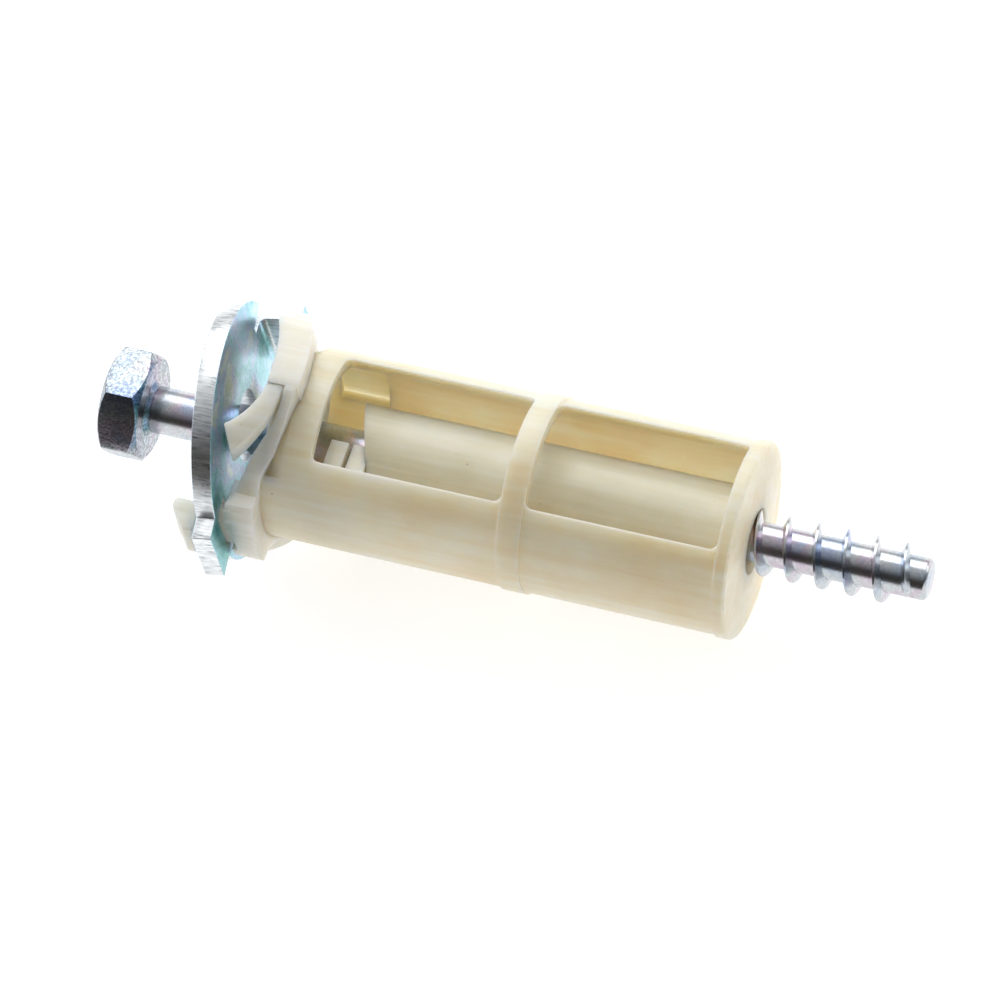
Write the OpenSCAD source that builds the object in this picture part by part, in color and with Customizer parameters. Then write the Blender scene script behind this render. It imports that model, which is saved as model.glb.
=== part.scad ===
// Transit bolt: hexagon-head screw, retaining plate and nylon spacer sleeve.
// X runs along the screw, head at -X and tip at +X. The origin lies on the screw axis, in the
// plane of the flange's tube side. Z is the way that the sleeve's windows open. Y points from the
// snap hook to the plate's tab. A polar angle is measured from +Z towards +Y. Millimetres.

/* [Screw] */
// Width of the hexagon head across its flats
head_af = 13; // [10:0.5:16]
// Height of the head
head_h = 5.2; // [4:0.1:7]
// Depth of the chamfer on both ends of the head
head_chamfer = 0.9; // [0.3:0.1:1.2]
// Width of the ring under the head, outside the shank
head_ring_w = 0.8; // [0.4:0.1:1.2]
// Length of the ring under the head
head_ring_h = 0.5; // [0.2:0.1:1]
// Length of the screw under its head
screw_len = 101; // [95:1:120]
// Diameter of the plain shank
shank_d = 6; // [5:0.1:6.6]
// Root diameter of the thread
thread_root_d = 5.3; // [4.5:0.1:6]
// Outside diameter of the thread
thread_d = 8; // [7:0.1:8.2]
// Pitch of the thread
thread_pitch = 3.75; // [3:0.1:5]
// Width of the thread's ridge at its root
ridge_root_w = 1.2; // [0.8:0.1:1.6]
// Width of the thread's ridge at its crest
ridge_crest_w = 0.25; // [0.15:0.05:0.5]
// Where the thread starts round the screw, in degrees
thread_turn_in = 235; // [0:5:355]
// Length of thread inside the sleeve, with the screw drawn fully back
thread_inside = 2.4; // [0:0.1:6]
// Plain length of the screw past the thread's end
thread_run_out = 2; // [1:0.1:4]
// Head underside to the flange, with the screw drawn fully back
head_standoff = 18.5; // [17:0.5:24]

/* [Spacer sleeve] */
// Outside diameter of the tube
sleeve_d = 24.5; // [20:0.5:30]
// Wall thickness of the tube
sleeve_wall = 1.5; // [1:0.1:2]
// Length of the tube from the flange to its end face
sleeve_len = 59.9; // [50:0.5:75]
// Thickness of the closed end
end_wall = 1.7; // [1.2:0.1:3]
// Rise of the end face from its rim to the screw hole
end_rise = 0.3; // [0.1:0.1:1]
// Width of the proud band between the windows
mid_band_w = 3; // [2:0.1:5]
// How far both bands stand proud of the tube
band_proud = 0.25; // [0.1:0.05:0.6]
// Depth of the groove between the tube and the flange
neck_depth = 1.05; // [0.6:0.05:1.2]
// Length of the bevel that leads into the groove
neck_len = 2.6; // [1.5:0.1:4]
// Half width of the pocket inside the collar, below the tab
pocket_half = 4.5; // [3:0.1:6]
// Length of that pocket
pocket_len = 6.4; // [4:0.1:8]
// Length of the solid collar between the flange and the first window
collar_len = 6; // [4:0.5:10]
// Width of each window, across the tube
window_w = 15.2; // [10:0.2:16]
// Corner radius of each window
window_r = 1; // [0.5:0.1:2]

/* [Flange] */
// Width of the flange outside the tube
flange_w = 3.35; // [2.8:0.05:4]
// Thickness of the flange
flange_t = 2; // [1.5:0.1:3]
// Lean of the flange's foot towards the plate
rim_lean = 1.4; // [0:0.1:1.4]
// Half width of the flange's foot
foot_half = 6.3; // [6:0.1:8]
// Width of the raised rim that the spring arms grow from
rim_w = 4; // [3:0.1:5]
// Thickness of a spring arm across, from its outer face inwards
arm_deep = 1.9; // [1.4:0.1:3]
// Width of a spring arm at its highest point
arm_w = 2.2; // [1.8:0.1:3]
// Radius of a spring arm's side that faces the plate
arm_bend_r = 7.7; // [7.5:0.1:9]
// Radius of its other side, which is greater, so that the arm widens to its end
arm_back_r = 12.1; // [11:0.1:14]
// Angle that a spring arm sweeps from its highest point
arm_sweep = 61; // [50:0.5:63]
// Radius of the raised rim's side that faces the plate
rim_bend_r = 21; // [19:0.2:28]
// Place of that side at its highest point, from the flange's tube side
arm_face = 0.9; // [0.6:0.1:1.4]
// Height, towards the tab, of the arms' and the rim's highest point
arm_crown_y = -0.5; // [-1:0.1:0.5]
// Height at which the arms' free length begins
arm_root_y = -1.3; // [-2:0.1:-1]
// How much the far arm is pressed in at rest, in degrees
far_arm_press = 8.8; // [0:0.1:10]
// Angle through which the near arm can be pressed in
near_travel = 3.2; // [0:0.1:5]
// Angle through which the far arm can be pressed in, from its free state
far_travel = 10.6; // [9:0.1:12]
// Half width of the shoulder block that carries the snap hook
shoulder_half = 5.4; // [4.5:0.1:7]
// Shoulder block's face, measured from the flange's tube side
shoulder_reach = 3.5; // [3:0.1:5]
// How far the shoulder block and the hook stand in from the flange's edge
hook_inset = 0.9; // [0:0.1:1.5]

/* [Snap hook] */
// Half width of the hook
hook_half = 2.8; // [2:0.1:4]
// Thickness of the hook
hook_t = 1.8; // [1.4:0.1:3]
// How far the barb stands out
barb_out = 2.4; // [1.5:0.1:3]
// Length of the barb
barb_len = 3.6; // [2.5:0.1:5]

/* [Guide tube] */
// Wall thickness of the guide tube
guide_wall = 2.1; // [1.2:0.1:2.4]
// Start of the guide tube, from the flange
guide_start = 10.2; // [9:0.1:14]
// Slant of the guide tube's open end, in degrees
guide_slant = 18; // [0:1:25]

/* [Shank fingers] */
// Thickness of a finger
finger_t = 1.8; // [1:0.1:2.5]
// Height of the finger's tip, from the screw axis
finger_tip_y = -1.6; // [-3:0.1:2]
// Start of the first pair of fingers, past the collar
finger_start = 0.3; // [0.1:0.1:1]
// Length of a finger along the screw
finger_len = 2.3; // [1.5:0.1:2.6]
// Distance from one pair of fingers to the next
finger_pitch = 2.9; // [2.7:0.1:4]

/* [Retaining plate] */
// Thickness of the sheet
plate_t = 2.5; // [1.5:0.1:3]
// How far the round part stands out past the flange
plate_over = 0.6; // [0.4:0.1:3]
// Offset of the centre hole towards the tab
plate_hole_y = 0.8; // [0:0.1:1.5]
// Half width of the leg
leg_half = 4.4; // [4.1:0.1:6]
// Width of the strip of the leg outside the hook's slot
leg_strip = 3.5; // [2.6:0.1:5]
// Half width of the tab
tab_half = 4.5; // [3:0.1:6]
// Depth of the tab along the screw, from the plate's sleeve side
tab_len = 5.4; // [3:0.1:7]
// Width of the relief notches beside the tab
notch_w = 1.2; // [0.6:0.1:2]
// Depth of the relief notches beside the tab
notch_depth = 2.2; // [1:0.1:3]
// Tilt of the plate at rest, in degrees
plate_tilt = 8.6; // [0:0.1:10]
// Direction in which the plate tilts, in degrees from the tab towards the windows
tilt_dir = 28.5; // [0:0.5:45]

/* [Fits] */
// Play of the thread in the hole of the closed end
end_play = 0.2; // [0.2:0.05:0.6]
// Play of the thread in the guide tube and in the flange
guide_play = 0.3; // [0.2:0.05:0.6]
// Play of the thread in the plate's hole
hole_play = 0.55; // [0.4:0.05:1]
// Gap between the shank and a finger
finger_gap = 0.3; // [0.3:0.05:0.8]
// Gap between a moving arm or hook and the moulding that it grows from
root_gap = 0.45; // [0.4:0.05:0.8]
// Gap between the plate and the shoulder block
plate_gap = 0.3; // [0.3:0.05:0.8]
// Play of the hook in its slot
slot_play = 0.4; // [0.3:0.05:0.8]
// Room for the hook to flex in its slot
slot_flex = 1.4; // [1:0.1:2]
// Gap between the barb and the plate's outer face
barb_gap = 0.9; // [0.8:0.05:1.4]
// Play between the tab and its notch in the flange
tab_play = 0.8; // [0.6:0.05:1.2]

/* [Hidden] */
$fn = 96;
steel = "silver";
nylon = "ivory";
big = 100;

head_x = -head_standoff;
tip_x = head_x + screw_len;
thread_start = sleeve_len - thread_inside;
core_x = thread_start - ridge_root_w;

sleeve_r = sleeve_d / 2;
bore_r = sleeve_r - sleeve_wall;
band_r = sleeve_r + band_proud;
neck_r = sleeve_r - neck_depth;
web_r = neck_r + 0.4;
web_x = -0.3;
flange_r = sleeve_r + flange_w;
cap_x = sleeve_len - end_wall;
guide_bore_r = thread_d / 2 + guide_play;
end_hole_r = thread_d / 2 + end_play;
window_len = (cap_x - collar_len - mid_band_w) / 2;
mid_band_x = collar_len + window_len;

arm_hinge_x = arm_w / 2 - arm_face;
arm_out_r = flange_r - 0.2;
hook_y = flange_r - hook_inset;
groove_foot_y = -0.8 * sleeve_r;
hook_root_x = -flange_t - 0.6;

plate_r = flange_r + plate_over;
plate_front_x = -(shoulder_reach + plate_gap);
plate_back_x = plate_front_x - plate_t;
pivot_drop = hook_y * cos(tilt_dir) + shoulder_half * sin(tilt_dir);
slot_out_y = hook_y + slot_play;
barb_x = plate_back_x - barb_gap;
hook_tip_x = barb_x - barb_len;

// Round bar or ring along X, from x0 to x1.
module bar(r, x0, x1) {
    translate([x0, 0, 0]) rotate([0, 90, 0]) cylinder(r = r, h = x1 - x0);
}

module ring(r_out, r_in, x0, x1) {
    difference() {
        bar(r_out, x0, x1);
        bar(r_in, x0 - 1, x1 + 1);
    }
}

// A profile of [radius, x] points turned about the screw axis.
module turned(points) {
    rotate([0, 90, 0]) rotate_extrude() polygon(points);
}

// A shape drawn in X and Y, made solid from z0 to z1.
module side_on(z0, z1) {
    translate([0, 0, z0]) linear_extrude(height = z1 - z0) children();
}

module block(x0, x1, y0, y1, z0, z1) {
    translate([x0, y0, z0]) cube([x1 - x0, y1 - y0, z1 - z0]);
}

// ---- Screw -------------------------------------------------------------------------------

module screw_head() {
    corner_r = head_af / 2 / cos(30);
    chamfer_r = head_af / 2 * 0.96;
    back_x = head_x - head_h;
    color(steel) union() {
        intersection() {
            translate([back_x, 0, 0]) rotate([0, 90, 0]) rotate([0, 0, 23.5])
                cylinder(r = corner_r, h = head_h, $fn = 6);
            turned([[0, back_x], [chamfer_r, back_x], [corner_r + 0.05, back_x + head_chamfer],
                    [corner_r + 0.05, head_x - head_chamfer], [chamfer_r, head_x], [0, head_x]]);
        }
        turned([[0, head_x], [shank_d / 2 + head_ring_w, head_x], [shank_d / 2, head_x + head_ring_h],
                [0, head_x + head_ring_h]]);
    }
}

module screw_shank() {
    tip_chamfer = 0.4;
    color(steel) turned([[0, head_x + head_ring_h], [shank_d / 2, head_x + head_ring_h],
                         [shank_d / 2, core_x], [thread_root_d / 2, core_x + 0.4],
                         [thread_root_d / 2, tip_x - tip_chamfer],
                         [thread_root_d / 2 - tip_chamfer, tip_x], [0, tip_x]]);
}

// The ridge is one closed ribbon with four corners at each step of the helix, which grows out of
// the root at its start and sinks back into it at its end.
module screw_thread() {
    steps = 48;
    count = floor((tip_x - thread_run_out - thread_start) / thread_pitch * steps);
    root_r = thread_root_d / 2 / cos(180 / steps);
    function rise(i) = min(1, 0.04 + min(i / 3, (count - i) / 12));
    function crest(i) = root_r + (thread_d / 2 - root_r) * rise(i);
    function turn(i) = thread_turn_in + i * 360 / steps;
    function at(i, r, dx) = [thread_start + i * thread_pitch / steps + dx,
                             r * sin(turn(i)), -r * cos(turn(i))];
    points = [for (i = [0 : count]) each [at(i, root_r, -ridge_root_w / 2),
                                          at(i, crest(i), -ridge_crest_w / 2),
                                          at(i, crest(i), ridge_crest_w / 2),
                                          at(i, root_r, ridge_root_w / 2)]];
    sides = [for (i = [0 : count - 1]) for (k = [0 : 3])
        each [[4 * i + k, 4 * i + (k + 1) % 4, 4 * i + 4 + (k + 1) % 4],
              [4 * i + k, 4 * i + 4 + (k + 1) % 4, 4 * i + 4 + k]]];
    ends = [[3, 2, 1, 0], [4 * count, 4 * count + 1, 4 * count + 2, 4 * count + 3]];
    color(steel) polyhedron(points = points, faces = concat(sides, ends));
}

// ---- Retaining plate ---------------------------------------------------------------------

// Turns its children by the plate's tilt, about the line where the plate rests on the shoulder.
module tilted(angle) {
    rotate([tilt_dir, 0, 0]) translate([plate_front_x, -pivot_drop, 0]) rotate([0, 0, angle])
        translate([-plate_front_x, pivot_drop, 0]) rotate([-tilt_dir, 0, 0]) children();
}

// Side view of the tab: the sheet turns through a rounded corner and runs towards the sleeve.
module tab_outline() {
    corner = plate_t + 1;
    translate([plate_back_x + corner, plate_r - corner]) intersection() {
        difference() {
            circle(r = corner);
            circle(r = corner - plate_t);
        }
        translate([-corner, 0]) square(corner);
    }
    translate([plate_back_x, plate_r - corner - 2]) square([plate_t, 2]);
    translate([plate_back_x + corner, plate_r - plate_t]) square([tab_len - 1, plate_t]);
}

module retaining_plate() {
    bend_y = plate_r - plate_t - 1;
    color(steel) tilted(plate_tilt) difference() {
        union() {
            difference() {
                bar(plate_r, plate_back_x, plate_front_x);
                block(plate_back_x - 1, plate_front_x + 1, bend_y, plate_r + 1, -tab_half, tab_half);
            }
            block(plate_back_x, plate_front_x, -slot_out_y - leg_strip, 0, -leg_half, leg_half);
            side_on(-tab_half, tab_half) tab_outline();
        }
        translate([0, plate_hole_y, 0])
            bar(thread_d / 2 + hole_play, plate_back_x - 1, plate_front_x + 1);
        block(plate_back_x - 1, plate_front_x + 1, -slot_out_y, -hook_y + hook_t + slot_flex,
              -(hook_half + slot_play), hook_half + slot_play);
        for (side = [-1, 1])
            block(plate_back_x - 1, plate_front_x + 1, plate_r - plate_t - notch_depth, plate_r + 1,
                  side * (tab_half + notch_w / 2) - notch_w / 2,
                  side * (tab_half + notch_w / 2) + notch_w / 2);
    }
}

// ---- Spacer sleeve -----------------------------------------------------------------------

// Side view of a curved band between two heights. The side that faces the plate has radius r, and
// the other side has radius back_r; at the crown they are w apart.
module band(r, back_r, w, from_y, to_y) {
    intersection() {
        difference() {
            translate([w - arm_face - back_r, arm_crown_y]) circle(r = back_r, $fn = 240);
            translate([-arm_face - r, arm_crown_y]) circle(r = r, $fn = 240);
        }
        translate([-big / 4, to_y]) square([big / 2, from_y - to_y]);
    }
}

// Side view of a spring arm's free length, pressed in by an angle about its root.
module arm_side(press) {
    translate([arm_hinge_x, arm_root_y]) rotate(press) translate([-arm_hinge_x, -arm_root_y])
        intersection() {
            band(arm_bend_r, arm_back_r, arm_w, arm_root_y - root_gap, -big / 4);
            translate([-arm_face - arm_bend_r, arm_crown_y]) rotate(-arm_sweep) square(big);
        }
}

// Side view of the room that a spring arm sweeps through, without its root's gap.
module arm_room(press) {
    intersection() {
        offset(delta = 0.2) arm_side(press);
        translate([-big / 4, -big / 2]) square([big / 2, big / 2 + arm_root_y]);
    }
}

// The region that the flange's rim may fill, across the screw: it narrows below the arms and ends
// in a foot with parallel sides.
module rim_outline() {
    foot_y = -0.8 * flange_r;
    translate([-big / 2, 0, 0]) rotate([90, 0, 90]) linear_extrude(height = big)
        for (side = [-1, 1]) scale([1, side])
            polygon([[2, 0], [2, flange_r + 1], [arm_root_y, flange_r + 0.4], [foot_y, foot_half],
                     [-flange_r - 1, foot_half], [-flange_r - 1, 0]]);
}

// The rim's lower half starts as a wedge beside the arms' roots and leans down to the foot.
module lower_rim() {
    foot_x = -flange_t - rim_lean;
    intersection() {
        union() {
            intersection() {
                ring(flange_r, neck_r, foot_x - 1, 0);
                union() {
                    bar(sleeve_r, foot_x - 1, 1);
                    rim_outline();
                }
            }
            intersection() {
                ring(flange_r, sleeve_r + 0.2, -1, 4);
                rim_outline();
            }
        }
        side_on(-big / 2, big / 2)
            polygon([[1.5, arm_root_y + 0.2], [1.2, -3.4], [0.3, -6], [-1.1, -8.5], [-1.9, -10.5],
                     [-2.7, -12.3], [foot_x, -14.4], [foot_x, -flange_r - 1], [0.15, -flange_r - 1],
                     [0.15, -10.5], [1.5, -8], [2.2, -5], [2.9, arm_root_y + 0.2]]);
    }
}

module upper_rim() {
    intersection() {
        union() {
            ring(flange_r, neck_r, -shoulder_reach, 0);
            ring(flange_r, sleeve_r + 0.2, -1, 4);
        }
        side_on(-big / 2, big / 2)
            band(rim_bend_r, rim_bend_r + rim_w, rim_w, big / 2, arm_root_y);
    }
}

module flange() {
    tab_room = tab_half + tab_play;
    hook_room = hook_half + slot_play;
    color(nylon) difference() {
        union() {
            bar(web_r, web_x, 0);
            bar(bore_r, web_x, 1.2);
            intersection() {
                bar(sleeve_r, -flange_t, 0);
                block(-big, big, -big, groove_foot_y, -big, big);
            }
            lower_rim();
            upper_rim();
            block(-shoulder_reach, -flange_t + 0.5, -hook_y, -neck_r + 1, -shoulder_half, shoulder_half);
        }
        bar(guide_bore_r, -10, 10);
        block(-big / 2, big / 2, plate_r - plate_t - tab_play, big / 2, -tab_room, tab_room);
        block(-shoulder_reach - 1, hook_root_x, -flange_r - 1, -hook_y + hook_t + 0.6,
              -hook_room, hook_room);
        intersection() {
            ring(flange_r + 1, arm_out_r - arm_deep - 0.4, -10, 4);
            union() {
                side_on(0, big / 2) arm_room(near_travel);
                side_on(-big / 2, 0) arm_room(far_travel);
            }
        }
    }
}

module windows() {
    for (x = [collar_len, mid_band_x + mid_band_w])
        side_on(-big / 2, big / 2)
            translate([x, -window_w / 2]) rounded(window_len, window_w, window_r);
}

module rounded(w, h, r) {
    square_w = w - 2 * r;
    square_h = h - 2 * r;
    translate([r, 0]) square([square_w, h]);
    translate([0, r]) square([w, square_h]);
    for (x = [r, w - r]) for (y = [r, h - r]) translate([x, y]) circle(r = r, $fn = 32);
}

module sleeve_shell() {
    groove_end = 0.8;
    pocket_start = 2.7;
    color(nylon) difference() {
        union() {
            ring(sleeve_r, bore_r, 0, cap_x);
            ring(band_r, bore_r, mid_band_x, mid_band_x + mid_band_w);
        }
        windows();
        difference() {
            turned([[neck_r, 0], [big / 2, 0], [big / 2, neck_len], [sleeve_r, neck_len],
                    [neck_r, groove_end]]);
            block(-1, collar_len, -big / 2, groove_foot_y, -big / 2, big / 2);
        }
        block(pocket_start, pocket_start + pocket_len, 0, bore_r + 0.3, -pocket_half, pocket_half);
    }
}

module end_cap() {
    rim_w = 1.6;
    color(nylon) difference() {
        turned([[0, cap_x], [sleeve_r, cap_x], [band_r, cap_x], [band_r, sleeve_len - 0.3],
                [band_r - 0.3, sleeve_len], [band_r - rim_w, sleeve_len],
                [end_hole_r + 1, sleeve_len + end_rise], [0, sleeve_len + end_rise]]);
        bar(end_hole_r, 0, big);
    }
}

// The guide tube before it is bored, with its open end cut on the slant.
module guide_blank() {
    difference() {
        bar(guide_bore_r + guide_wall, guide_start - 3, cap_x);
        translate([guide_start, 0, 0]) rotate([0, 0, guide_slant])
            translate([-big, -big / 2, -big / 2]) cube(big);
    }
}

module guide_tube() {
    color(nylon) difference() {
        guide_blank();
        bar(guide_bore_r, 0, big);
    }
}

// One spring arm's free length. The far arm is the near arm's mirror image.
module spring_arm(far, press) {
    color(nylon) intersection() {
        ring(arm_out_r, arm_out_r - arm_deep, -12, 4);
        mirror([0, 0, far]) side_on(0, big / 2) arm_side(press);
    }
}

module snap_hook() {
    in_y = -(hook_y - hook_t);
    out_y = -hook_y - barb_out;
    root_x = hook_root_x - root_gap;
    color(nylon) side_on(-hook_half, hook_half)
        polygon([[root_x, in_y], [root_x, -hook_y], [barb_x, -hook_y], [barb_x, out_y],
                 [barb_x - barb_len * 0.35, out_y], [hook_tip_x, in_y - hook_t * 0.7],
                 [hook_tip_x, in_y - hook_t * 0.2], [hook_tip_x + hook_t * 0.2, in_y]]);
}

// A finger beside the shank, number 0 or 1 along the screw. The far one is a mirror image.
module shank_finger(number, far) {
    near = shank_d / 2 + finger_gap;
    start = collar_len + finger_start + number * finger_pitch;
    wall_y = -sqrt(pow(bore_r, 2) - pow(near + finger_t, 2));
    color(nylon) difference() {
        mirror([0, 0, far])
            block(start, start + finger_len, wall_y, finger_tip_y, near, near + finger_t);
        guide_blank();
    }
}

screw_head();
screw_shank();
screw_thread();
retaining_plate();
flange();
sleeve_shell();
end_cap();
guide_tube();
spring_arm(0, 0);  // spring_arm_near
spring_arm(1, far_arm_press);  // spring_arm_far
snap_hook();
shank_finger(0, 0);  // shank_finger_1
shank_finger(0, 1);  // shank_finger_2
shank_finger(1, 0);  // shank_finger_3
shank_finger(1, 1);  // shank_finger_4
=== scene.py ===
# Transit bolt: zinc-plated hexagon screw, zinc-plated retaining plate, natural nylon spacer sleeve.
import math

import bpy
from mathutils import Matrix, Vector


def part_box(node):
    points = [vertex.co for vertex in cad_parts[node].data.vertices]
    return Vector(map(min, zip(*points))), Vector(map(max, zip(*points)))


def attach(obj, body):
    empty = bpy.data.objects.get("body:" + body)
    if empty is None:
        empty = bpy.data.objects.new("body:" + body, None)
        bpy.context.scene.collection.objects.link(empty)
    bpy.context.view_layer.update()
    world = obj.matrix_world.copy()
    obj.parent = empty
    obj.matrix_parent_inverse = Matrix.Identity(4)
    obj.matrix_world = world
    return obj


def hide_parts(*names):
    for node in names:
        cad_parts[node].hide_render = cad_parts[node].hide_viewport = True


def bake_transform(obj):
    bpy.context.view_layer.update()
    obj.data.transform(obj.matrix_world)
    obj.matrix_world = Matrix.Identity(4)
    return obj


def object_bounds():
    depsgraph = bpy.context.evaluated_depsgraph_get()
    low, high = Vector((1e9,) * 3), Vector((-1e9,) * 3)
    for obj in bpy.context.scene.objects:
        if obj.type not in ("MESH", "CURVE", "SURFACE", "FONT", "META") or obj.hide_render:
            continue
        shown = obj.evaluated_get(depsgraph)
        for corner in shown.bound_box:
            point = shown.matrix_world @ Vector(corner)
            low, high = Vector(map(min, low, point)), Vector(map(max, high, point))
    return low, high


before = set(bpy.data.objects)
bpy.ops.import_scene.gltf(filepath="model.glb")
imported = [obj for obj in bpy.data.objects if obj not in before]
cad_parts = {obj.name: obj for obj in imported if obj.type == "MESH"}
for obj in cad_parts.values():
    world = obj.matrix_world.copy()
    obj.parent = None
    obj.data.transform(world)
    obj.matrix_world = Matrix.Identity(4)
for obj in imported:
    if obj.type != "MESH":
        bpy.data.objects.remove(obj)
cad_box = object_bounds()
MM = 0.001


# ---- Camera, floor and light ---------------------------------------------------------------

def place_camera():
    """The camera looks across the sleeve, a little from the tip's side, and is rolled so that the
    screw slopes down to the right."""
    turn, roll, spin = (math.radians(a) for a in (13.5, 12.5, 28.5))
    aim_along, aim_below, distance = 27.6 * MM, 1.8 * MM, 0.9
    along = Vector((1, 0, 0))
    near = Vector((0, -math.sin(spin), math.cos(spin)))
    over = Vector((0, math.cos(spin), math.sin(spin)))
    to_camera = along * math.sin(turn) + near * math.cos(turn)
    level = along * math.cos(turn) - near * math.sin(turn)
    right = level * math.cos(roll) + over * math.sin(roll)
    up = over * math.cos(roll) - level * math.sin(roll)
    target = along * aim_along - over * aim_below
    lens = bpy.data.cameras.new("camera")
    lens.sensor_width, lens.lens = 36, 262
    lens.clip_start, lens.clip_end = 0.01, 20
    camera = bpy.data.objects.new("camera", lens)
    bpy.context.collection.objects.link(camera)
    place = Matrix((right, up, to_camera)).transposed().to_4x4()
    place.translation = target + to_camera * distance
    camera.matrix_world = place
    bpy.context.scene.camera = camera
    return right, up, to_camera


def srgb(hex_colour):
    """An sRGB hex value as the linear colour that shaders use."""
    parts = [int(hex_colour[i:i + 2], 16) / 255 for i in (1, 3, 5)]
    return (*(c / 12.92 if c <= 0.04045 else ((c + 0.055) / 1.055) ** 2.4 for c in parts), 1)


def add(tree, kind, inputs=None, **settings):
    """Adds one node. Each input is a value or another node's output socket."""
    node = tree.nodes.new(kind)
    for name, value in settings.items():
        setattr(node, name, value)
    for name, value in (inputs or {}).items():
        if isinstance(value, bpy.types.NodeSocket):
            tree.links.new(value, node.inputs[name])
        else:
            node.inputs[name].default_value = value
    return node


def softbox(name, towards, size, power):
    """A square panel of soft white light, aimed at the middle of the object."""
    distance = 0.5
    light = bpy.data.lights.new(name, "AREA")
    light.shape, light.size, light.energy = "SQUARE", size, power
    panel = bpy.data.objects.new(name, light)
    bpy.context.collection.objects.link(panel)
    middle = (cad_box[0] + cad_box[1]) / 2
    direction = Vector(towards).normalized()
    panel.rotation_mode = "QUATERNION"
    panel.location = middle + direction * distance
    panel.rotation_quaternion = direction.to_track_quat("Z", "Y")


def light_studio(right, up, to_camera):
    """A pale room that is bright overhead and dim in front, with soft panels for the highlights."""
    world = bpy.data.worlds.new("studio")
    bpy.context.scene.world = world
    world.use_nodes = True
    tree = world.node_tree
    tree.nodes.clear()
    direction = add(tree, "ShaderNodeTexCoord").outputs["Generated"]
    height = add(tree, "ShaderNodeVectorMath", {0: direction, 1: up}, operation="DOT_PRODUCT")
    share = add(tree, "ShaderNodeMapRange", {"Value": height.outputs["Value"], "From Min": -1.0})
    ramp = add(tree, "ShaderNodeValToRGB", {"Fac": share.outputs["Result"]})
    colour_stops(ramp, [(0.0, "#4a443f"), (0.36, "#4d4843"), (0.56, "#b9bcc0"), (0.8, "#ffffff")])
    room = add(tree, "ShaderNodeBackground", {"Color": ramp.outputs["Color"], "Strength": 0.62})
    wall = add(tree, "ShaderNodeBackground", {"Color": srgb("#fbfbfb"), "Strength": 1.0})
    seen = add(tree, "ShaderNodeLightPath").outputs["Is Camera Ray"]
    mix = add(tree, "ShaderNodeMixShader", {0: seen, 1: room.outputs[0], 2: wall.outputs[0]})
    add(tree, "ShaderNodeOutputWorld", {"Surface": mix.outputs[0]})
    softbox("key_softbox", up * 0.9 + to_camera * 0.25 - right * 0.1, 0.4, 1.15)
    softbox("side_softbox", -right * 0.9 + up * 0.45 + to_camera * 0.25, 0.22, 0.35)
    softbox("tip_softbox", right * 0.9 + up * 0.5 + to_camera * 0.3, 0.25, 0.35)
    bpy.context.scene.view_settings.view_transform = "Standard"


def lay_floor():
    """The object rests on the rim of its plate and on the band round the sleeve's end. The table
    glows a little, so that it is as pale as the wall."""
    clearance = 0.1 * MM
    plate_low, plate_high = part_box("retaining_plate")
    cap_low, cap_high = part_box("end_cap")
    plate_x = (plate_low[0] + plate_high[0]) / 2
    slope = (cap_low[2] - plate_low[2]) / (cap_high[0] - plate_x)
    deselect()
    bpy.ops.mesh.primitive_plane_add(size=6)
    floor = bpy.context.active_object
    floor.name = "floor"
    floor.rotation_euler = (0, -math.atan(slope), 0)
    floor.location = (plate_x, 0, plate_low[2] - clearance)
    bpy.ops.object.transform_apply(location=True, rotation=True)
    table, _, shader, _ = new_material("white_acrylic_table")
    shader.inputs["Base Color"].default_value = srgb("#d4d4d4")
    shader.inputs["Roughness"].default_value = 0.4
    shader.inputs["Emission Color"].default_value = srgb("#ffffff")
    shader.inputs["Emission Strength"].default_value = 0.7
    floor.data.materials.append(table)


# ---- Materials -----------------------------------------------------------------------------

def new_material(name):
    """A material with one shader, and the node that gives places on the object."""
    material = bpy.data.materials.new(name)
    material.use_nodes = True
    tree = material.node_tree
    tree.nodes.clear()
    shader = add(tree, "ShaderNodeBsdfPrincipled")
    add(tree, "ShaderNodeOutputMaterial", {"Surface": shader.outputs["BSDF"]})
    place = add(tree, "ShaderNodeTexCoord")
    return material, tree, shader, place


def colour_stops(ramp, stops):
    """Gives a colour ramp its stops, each a position and an sRGB hex value."""
    band = ramp.color_ramp
    while len(band.elements) < len(stops):
        band.elements.new(0.5)
    for element, (position, colour) in zip(band.elements, stops):
        element.position, element.color = position, srgb(colour)


def per_mm(spacing):
    """The noise scale, per metre, whose patches are about this many millimetres across."""
    return 1000.0 / spacing


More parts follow.
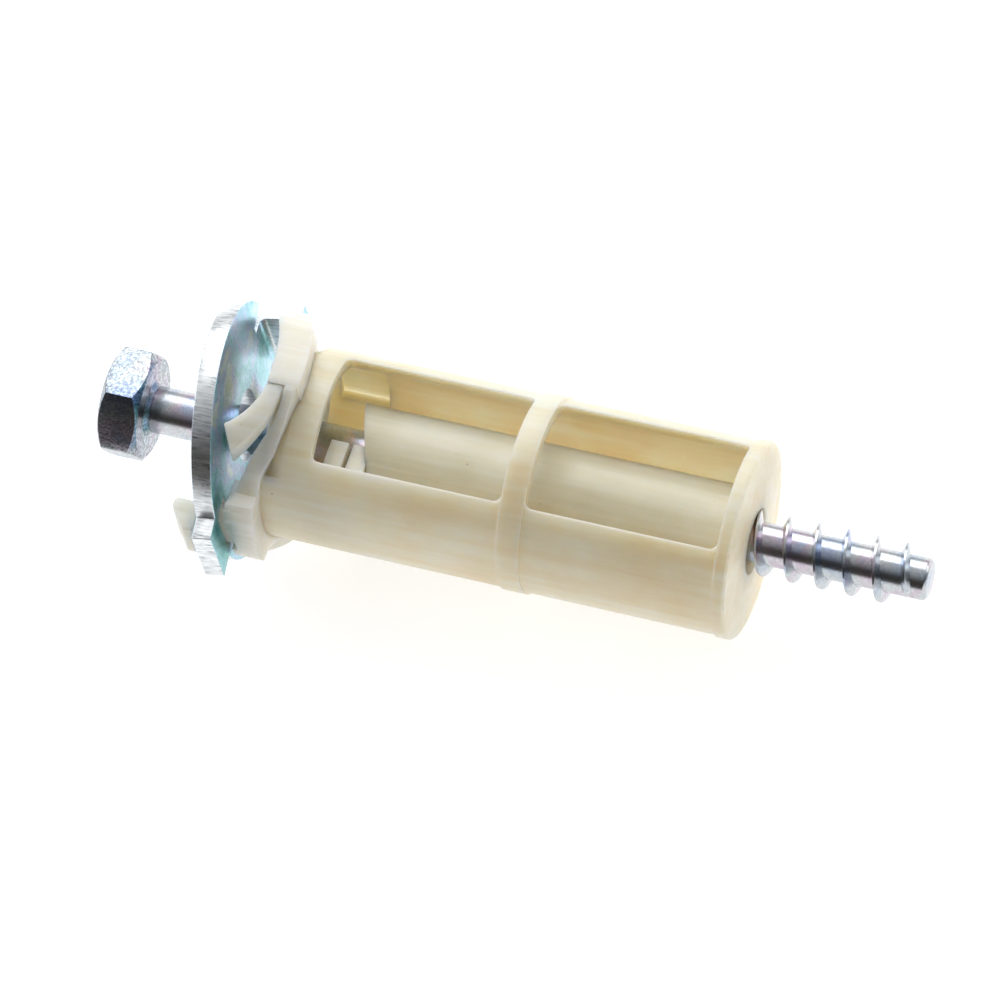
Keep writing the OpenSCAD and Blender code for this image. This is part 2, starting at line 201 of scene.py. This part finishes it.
def natural_nylon(name, deep, middle, pale):
    """Injection-moulded natural polyamide 6: milky and light-soaking, so thin walls glow. Cloudy
    patches and faint darker and lighter streaks run along the sleeve, the streaks being painted
    shade of the inner walls seen through the nylon, with a few dark specks of scorched melt."""
    material, tree, shader, place = new_material(name)
    spot = place.outputs["Object"]
    cloud = add(tree, "ShaderNodeTexNoise", {"Vector": spot, "Scale": per_mm(9), "Detail": 3.0})
    # Darker and lighter streaks stretched along the sleeve: painted shade of the inner walls seen
    # through the milky nylon. The same noise also varies the gloss.
    drawn = add(tree, "ShaderNodeMapping", {"Vector": spot, "Scale": (0.07, 1.0, 1.0)})
    shade_streaks = add(tree, "ShaderNodeTexNoise", {"Vector": drawn.outputs[0], "Scale": per_mm(1.6),
                                            "Detail": 4.0, "Roughness": 0.6})
    tone = add(tree, "ShaderNodeMix", {0: 0.5, 2: cloud.outputs["Fac"], 3: shade_streaks.outputs["Fac"]})
    cream = add(tree, "ShaderNodeValToRGB", {"Fac": tone.outputs[0]})
    colour_stops(cream, [(0.3, deep), (0.47, middle), (0.62, pale)])
    speck = add(tree, "ShaderNodeTexVoronoi", {"Vector": spot, "Scale": per_mm(3.2)})
    dark = add(tree, "ShaderNodeMapRange", {"Value": speck.outputs["Distance"],
                                            "From Min": 0.025, "From Max": 0.05,
                                            "To Min": 0.55, "To Max": 0.0})
    skin = add(tree, "ShaderNodeMix", {0: dark.outputs["Result"], 6: cream.outputs["Color"],
                                       7: srgb("#8d7f66")}, data_type="RGBA")
    tree.links.new(skin.outputs[2], shader.inputs["Base Color"])
    gloss = add(tree, "ShaderNodeMapRange", {"Value": shade_streaks.outputs["Fac"],
                                             "To Min": 0.3, "To Max": 0.5})
    tree.links.new(gloss.outputs["Result"], shader.inputs["Roughness"])
    sinks = add(tree, "ShaderNodeTexNoise", {"Vector": spot, "Scale": per_mm(2.4), "Detail": 2.0})
    relief = add(tree, "ShaderNodeBump", {"Height": sinks.outputs["Fac"], "Strength": 0.35,
                                          "Distance": 0.12 * MM})
    grain = add(tree, "ShaderNodeTexNoise", {"Vector": spot, "Scale": per_mm(0.35), "Detail": 2.0})
    fine = add(tree, "ShaderNodeBump", {"Height": grain.outputs["Fac"], "Strength": 0.2,
                                        "Distance": 0.03 * MM, "Normal": relief.outputs[0]})
    tree.links.new(fine.outputs[0], shader.inputs["Normal"])
    shader.inputs["IOR"].default_value = 1.53
    shader.inputs["Subsurface Weight"].default_value = 1.0
    shader.inputs["Subsurface Radius"].default_value = (1.0, 0.82, 0.6)
    shader.inputs["Subsurface Scale"].default_value = 3.0 * MM
    return material


def zinc_on_screw(name, pit_shade, dent):
    """Cold-headed steel, barrel-plated with zinc and passivated clear blue: a bright metal with a
    thin blue and pink tint that comes and goes. The head is peppered with dents from tumbling, and
    the rolled shank is smoother. The colour is darker in the low spots of the dents: painted shade,
    strongest on the head."""
    material, tree, shader, place = new_material(name)
    spot = place.outputs["Object"]
    tint = add(tree, "ShaderNodeTexNoise", {"Vector": spot, "Scale": per_mm(5), "Detail": 2.0})
    film = add(tree, "ShaderNodeValToRGB", {"Fac": tint.outputs["Fac"]})
    colour_stops(film, [(0.3, "#b4bfe0"), (0.42, "#c3ccd6"), (0.52, "#d5d8da"), (0.62, "#d9cbd8"),
                        (0.72, "#c2cbe2")])
    pits = add(tree, "ShaderNodeTexNoise", {"Vector": spot, "Scale": per_mm(0.36), "Detail": 3.0,
                                            "Roughness": 0.65})
    # Darker where the dents sink and brighter on their rims: painted shade in the pits, multiplied
    # into the zinc colour.
    shade = add(tree, "ShaderNodeValToRGB", {"Fac": pits.outputs["Fac"]})
    colour_stops(shade, [(0.38, "#4c5258"), (0.5, "#9aa5ab"), (0.62, "#e4e9ec")])
    skin = add(tree, "ShaderNodeMix", {0: pit_shade, 6: film.outputs["Color"],
                                       7: shade.outputs["Color"]}, data_type="RGBA",
               blend_type="MULTIPLY")
    tree.links.new(skin.outputs[2], shader.inputs["Base Color"])
    gloss = add(tree, "ShaderNodeMapRange", {"Value": pits.outputs["Fac"],
                                             "To Min": 0.32, "To Max": 0.16})
    tree.links.new(gloss.outputs["Result"], shader.inputs["Roughness"])
    dents = add(tree, "ShaderNodeBump", {"Height": pits.outputs["Fac"], "Strength": dent,
                                         "Distance": 0.05 * MM})
    tree.links.new(dents.outputs[0], shader.inputs["Normal"])
    shader.inputs["Metallic"].default_value = 1.0
    return material


def zinc_on_sheet():
    """Pressed steel sheet, zinc-plated and passivated: the faces show a teal, blue and lilac film
    with pale patches, and the sheared edges are bare bright metal, scored across the sheet."""
    material, tree, shader, place = new_material("iridescent_zinc_on_sheet")
    spot = place.outputs["Object"]
    film = add(tree, "ShaderNodeTexNoise", {"Vector": spot, "Scale": per_mm(7), "Detail": 4.0,
                                            "Roughness": 0.55, "Distortion": 0.6})
    tint = add(tree, "ShaderNodeValToRGB", {"Fac": film.outputs["Fac"]})
    colour_stops(tint, [(0.3, "#62b4b6"), (0.4, "#93cfd8"), (0.48, "#b9e0f4"), (0.54, "#c6d4f6"),
                        (0.6, "#e6f2f6"), (0.7, "#d2e6c8")])
    flecks = add(tree, "ShaderNodeTexNoise", {"Vector": spot, "Scale": per_mm(0.5), "Detail": 3.0})
    pale = add(tree, "ShaderNodeValToRGB", {"Fac": flecks.outputs["Fac"]})
    colour_stops(pale, [(0.33, "#a9b4b6"), (0.42, "#f0f4f5"), (0.7, "#ffffff")])
    face = add(tree, "ShaderNodeMix", {0: 0.4, 6: tint.outputs["Color"], 7: pale.outputs["Color"]},
               data_type="RGBA", blend_type="MULTIPLY")
    scored = add(tree, "ShaderNodeMapping", {"Vector": spot, "Scale": (0.12, 1.0, 1.0)})
    score = add(tree, "ShaderNodeTexNoise", {"Vector": scored.outputs[0], "Scale": per_mm(0.28),
                                             "Detail": 4.0, "Roughness": 0.6})
    bare = add(tree, "ShaderNodeValToRGB", {"Fac": score.outputs["Fac"]})
    colour_stops(bare, [(0.28, "#7c8388"), (0.38, "#c6ccd0"), (0.5, "#e3e7ea"), (0.6, "#f2f5f7")])
    tilt, tilt_way = math.radians(8.6), math.radians(28.5)
    flat_way = (math.cos(tilt), math.sin(tilt) * math.cos(tilt_way),
                math.sin(tilt) * math.sin(tilt_way))
    facing = add(tree, "ShaderNodeVectorMath", {0: place.outputs["Normal"], 1: flat_way},
                 operation="DOT_PRODUCT")
    flatness = add(tree, "ShaderNodeMath", {0: facing.outputs["Value"]}, operation="ABSOLUTE")
    edge = add(tree, "ShaderNodeMapRange", {"Value": flatness.outputs[0], "From Min": 0.35,
                                            "From Max": 0.75, "To Min": 1.0, "To Max": 0.0})
    skin = add(tree, "ShaderNodeMix", {0: edge.outputs["Result"], 6: face.outputs[2],
                                       7: bare.outputs["Color"]}, data_type="RGBA")
    tree.links.new(skin.outputs[2], shader.inputs["Base Color"])
    gloss = add(tree, "ShaderNodeMapRange", {"Value": flecks.outputs["Fac"],
                                             "To Min": 0.42, "To Max": 0.2})
    tree.links.new(gloss.outputs["Result"], shader.inputs["Roughness"])
    height = add(tree, "ShaderNodeMix", {0: edge.outputs["Result"], 2: flecks.outputs["Fac"],
                                         3: score.outputs["Fac"]})
    relief = add(tree, "ShaderNodeBump", {"Height": height.outputs[0], "Strength": 0.3,
                                          "Distance": 0.04 * MM})
    tree.links.new(relief.outputs[0], shader.inputs["Normal"])
    shader.inputs["Metallic"].default_value = 1.0
    return material


# ---- Pieces --------------------------------------------------------------------------------

def deselect():
    bpy.ops.object.select_all(action="DESELECT")


def only(piece):
    deselect()
    piece.select_set(True)
    bpy.context.view_layer.objects.active = piece


def start_from(node, name):
    """A copy of a CAD node, with its doubles merged and its flat faces made whole."""
    piece = bpy.data.objects.new(name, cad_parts[node].data.copy())
    bpy.context.collection.objects.link(piece)
    only(piece)
    bpy.ops.object.mode_set(mode="EDIT")
    bpy.ops.mesh.select_all(action="SELECT")
    bpy.ops.mesh.remove_doubles(threshold=0.002 * MM)
    bpy.ops.mesh.dissolve_limited(angle_limit=math.radians(0.6))
    bpy.ops.object.mode_set(mode="OBJECT")
    piece.data.materials.clear()
    return piece


def merge(piece, other):
    """Joins the other solid to the piece, and removes it."""
    only(piece)
    join = piece.modifiers.new("join", "BOOLEAN")
    join.operation, join.object, join.solver = "UNION", other, "EXACT"
    join.material_mode = "TRANSFER"
    bpy.ops.object.modifier_apply(modifier="join")
    bpy.data.objects.remove(other)


def ease_edges(piece, width, segments=3, sharp=30):
    """Rounds every sharp edge and shades the rest smooth."""
    only(piece)
    ease = piece.modifiers.new("ease", "BEVEL")
    ease.width, ease.segments = width * MM, segments
    ease.limit_method, ease.angle_limit = "ANGLE", math.radians(sharp)
    bpy.ops.object.modifier_apply(modifier="ease")
    bpy.ops.object.shade_smooth_by_angle(angle=math.radians(35))


def finish_piece(piece, material, slot, body, *nodes):
    """Gives a rigid piece its material and its body, and hides the CAD nodes that it stands for."""
    piece.data.materials.clear()
    piece.data.materials.append(material)
    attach(piece, body)
    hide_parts(*nodes)


def select_where(piece, test):
    """Selects only the faces whose middle and normal pass the test."""
    for face in piece.data.polygons:
        face.select = test(face.center, face.normal)
    for edge in piece.data.edges:
        edge.select = False
    for vert in piece.data.vertices:
        vert.select = False


def spacer_moulding(nylon, shaded_guide_nylon, thin_nylon):
    """The whole nylon moulding apart from its arms and hook, joined into one solid."""
    # The guide tube takes a darker, greener copy of the sleeve's nylon: painted shade for the tube
    # that sits in shadow inside the sleeve.
    own = {"guide_tube": shaded_guide_nylon, "flange": thin_nylon}
    sleeve = start_from("sleeve_shell", "spacer_sleeve")
    sleeve.data.materials.append(nylon)
    for node in ("end_cap", "guide_tube", "flange", "shank_finger_1", "shank_finger_2",
                 "shank_finger_3", "shank_finger_4"):
        other = start_from(node, node + "_blank")
        other.data.materials.append(own.get(node, nylon))
        merge(sleeve, other)
    ease_edges(sleeve, 0.22)
    return sleeve


def run_on(piece, test, *steps):
    """Extrudes the piece's root face by each step in turn, each a move in X and Y."""
    select_where(piece, test)
    only(piece)
    bpy.ops.object.mode_set(mode="EDIT")
    bpy.ops.mesh.select_mode(type="FACE")
    for x, y in steps:
        bpy.ops.mesh.extrude_region_move(TRANSFORM_OT_translate={"value": (x * MM, y * MM, 0)})
    bpy.ops.object.mode_set(mode="OBJECT")


def spring_arm(node, body, nylon):
    """A spring arm, whose root runs on into the rim so that the two meet without a gap."""
    arm = start_from(node, body + "_leaf")
    root_y = max(v.co.y for v in arm.data.vertices)
    run_on(arm, lambda middle, normal: normal.y > 0.85 and middle.y > root_y - 0.9 * MM,
           (0.1, 0.5), (0.15, 0.9))
    ease_edges(arm, 0.25)
    arm.data.materials.append(nylon)
    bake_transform(arm)
    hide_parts(node)


def snap_hook(nylon):
    """The hook, whose root runs on into the shoulder block."""
    hook = start_from("snap_hook", "snap_hook_moulded")
    root_x = max(v.co.x for v in hook.data.vertices)
    run_on(hook, lambda middle, normal: normal.x > 0.85 and middle.x > root_x - 0.2 * MM, (0.9, 0))
    ease_edges(hook, 0.3)
    hook.data.materials.append(nylon)
    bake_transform(hook)
    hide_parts("snap_hook")


def rolled_thread():
    """The thread, smooth along its flanks and sharp at its crest."""
    thread = start_from("screw_thread", "rolled_thread")
    bpy.ops.object.shade_smooth_by_angle(angle=math.radians(40))
    return thread


right, up, to_camera = place_camera()
light_studio(right, up, to_camera)
lay_floor()

nylon = natural_nylon("natural_nylon_sleeve", "#e9d6b2", "#f1e4c9", "#f7efdd")
# Same nylon as the sleeve, made darker and greener: painted shade for the guide tube in shadow
# inside the sleeve.
shaded_guide_nylon = natural_nylon("natural_nylon_guide_tube_painted_shade", "#dad3b4", "#e6e0c8", "#efead8")
thin_nylon = natural_nylon("natural_nylon_flange", "#e3ddcc", "#ece8dc", "#f5f3ec")
head_zinc = zinc_on_screw("blue_zinc_on_head", 0.7, 0.4)
screw_zinc = zinc_on_screw("blue_zinc_on_shank", 0.22, 0.12)
sheet_zinc = zinc_on_sheet()

sleeve = spacer_moulding(nylon, shaded_guide_nylon, thin_nylon)
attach(sleeve, "sleeve")
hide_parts("sleeve_shell", "end_cap", "guide_tube", "flange", "shank_finger_1",
            "shank_finger_2", "shank_finger_3", "shank_finger_4")
spring_arm("spring_arm_near", "near_arm", thin_nylon)
spring_arm("spring_arm_far", "far_arm", thin_nylon)
snap_hook(thin_nylon)

plate = start_from("retaining_plate", "pressed_plate")
ease_edges(plate, 0.35)
finish_piece(plate, sheet_zinc, "zinc_plated_sheet", "plate", "retaining_plate")

head = start_from("screw_head", "hexagon_head")
ease_edges(head, 0.14, segments=2, sharp=20)
finish_piece(head, head_zinc, "zinc_plated_screw", "screw", "screw_head")
shank = start_from("screw_shank", "plain_shank")
ease_edges(shank, 0.12)
finish_piece(shank, screw_zinc, "zinc_plated_screw", "screw", "screw_shank")
finish_piece(rolled_thread(), screw_zinc, "zinc_plated_screw", "screw", "screw_thread")
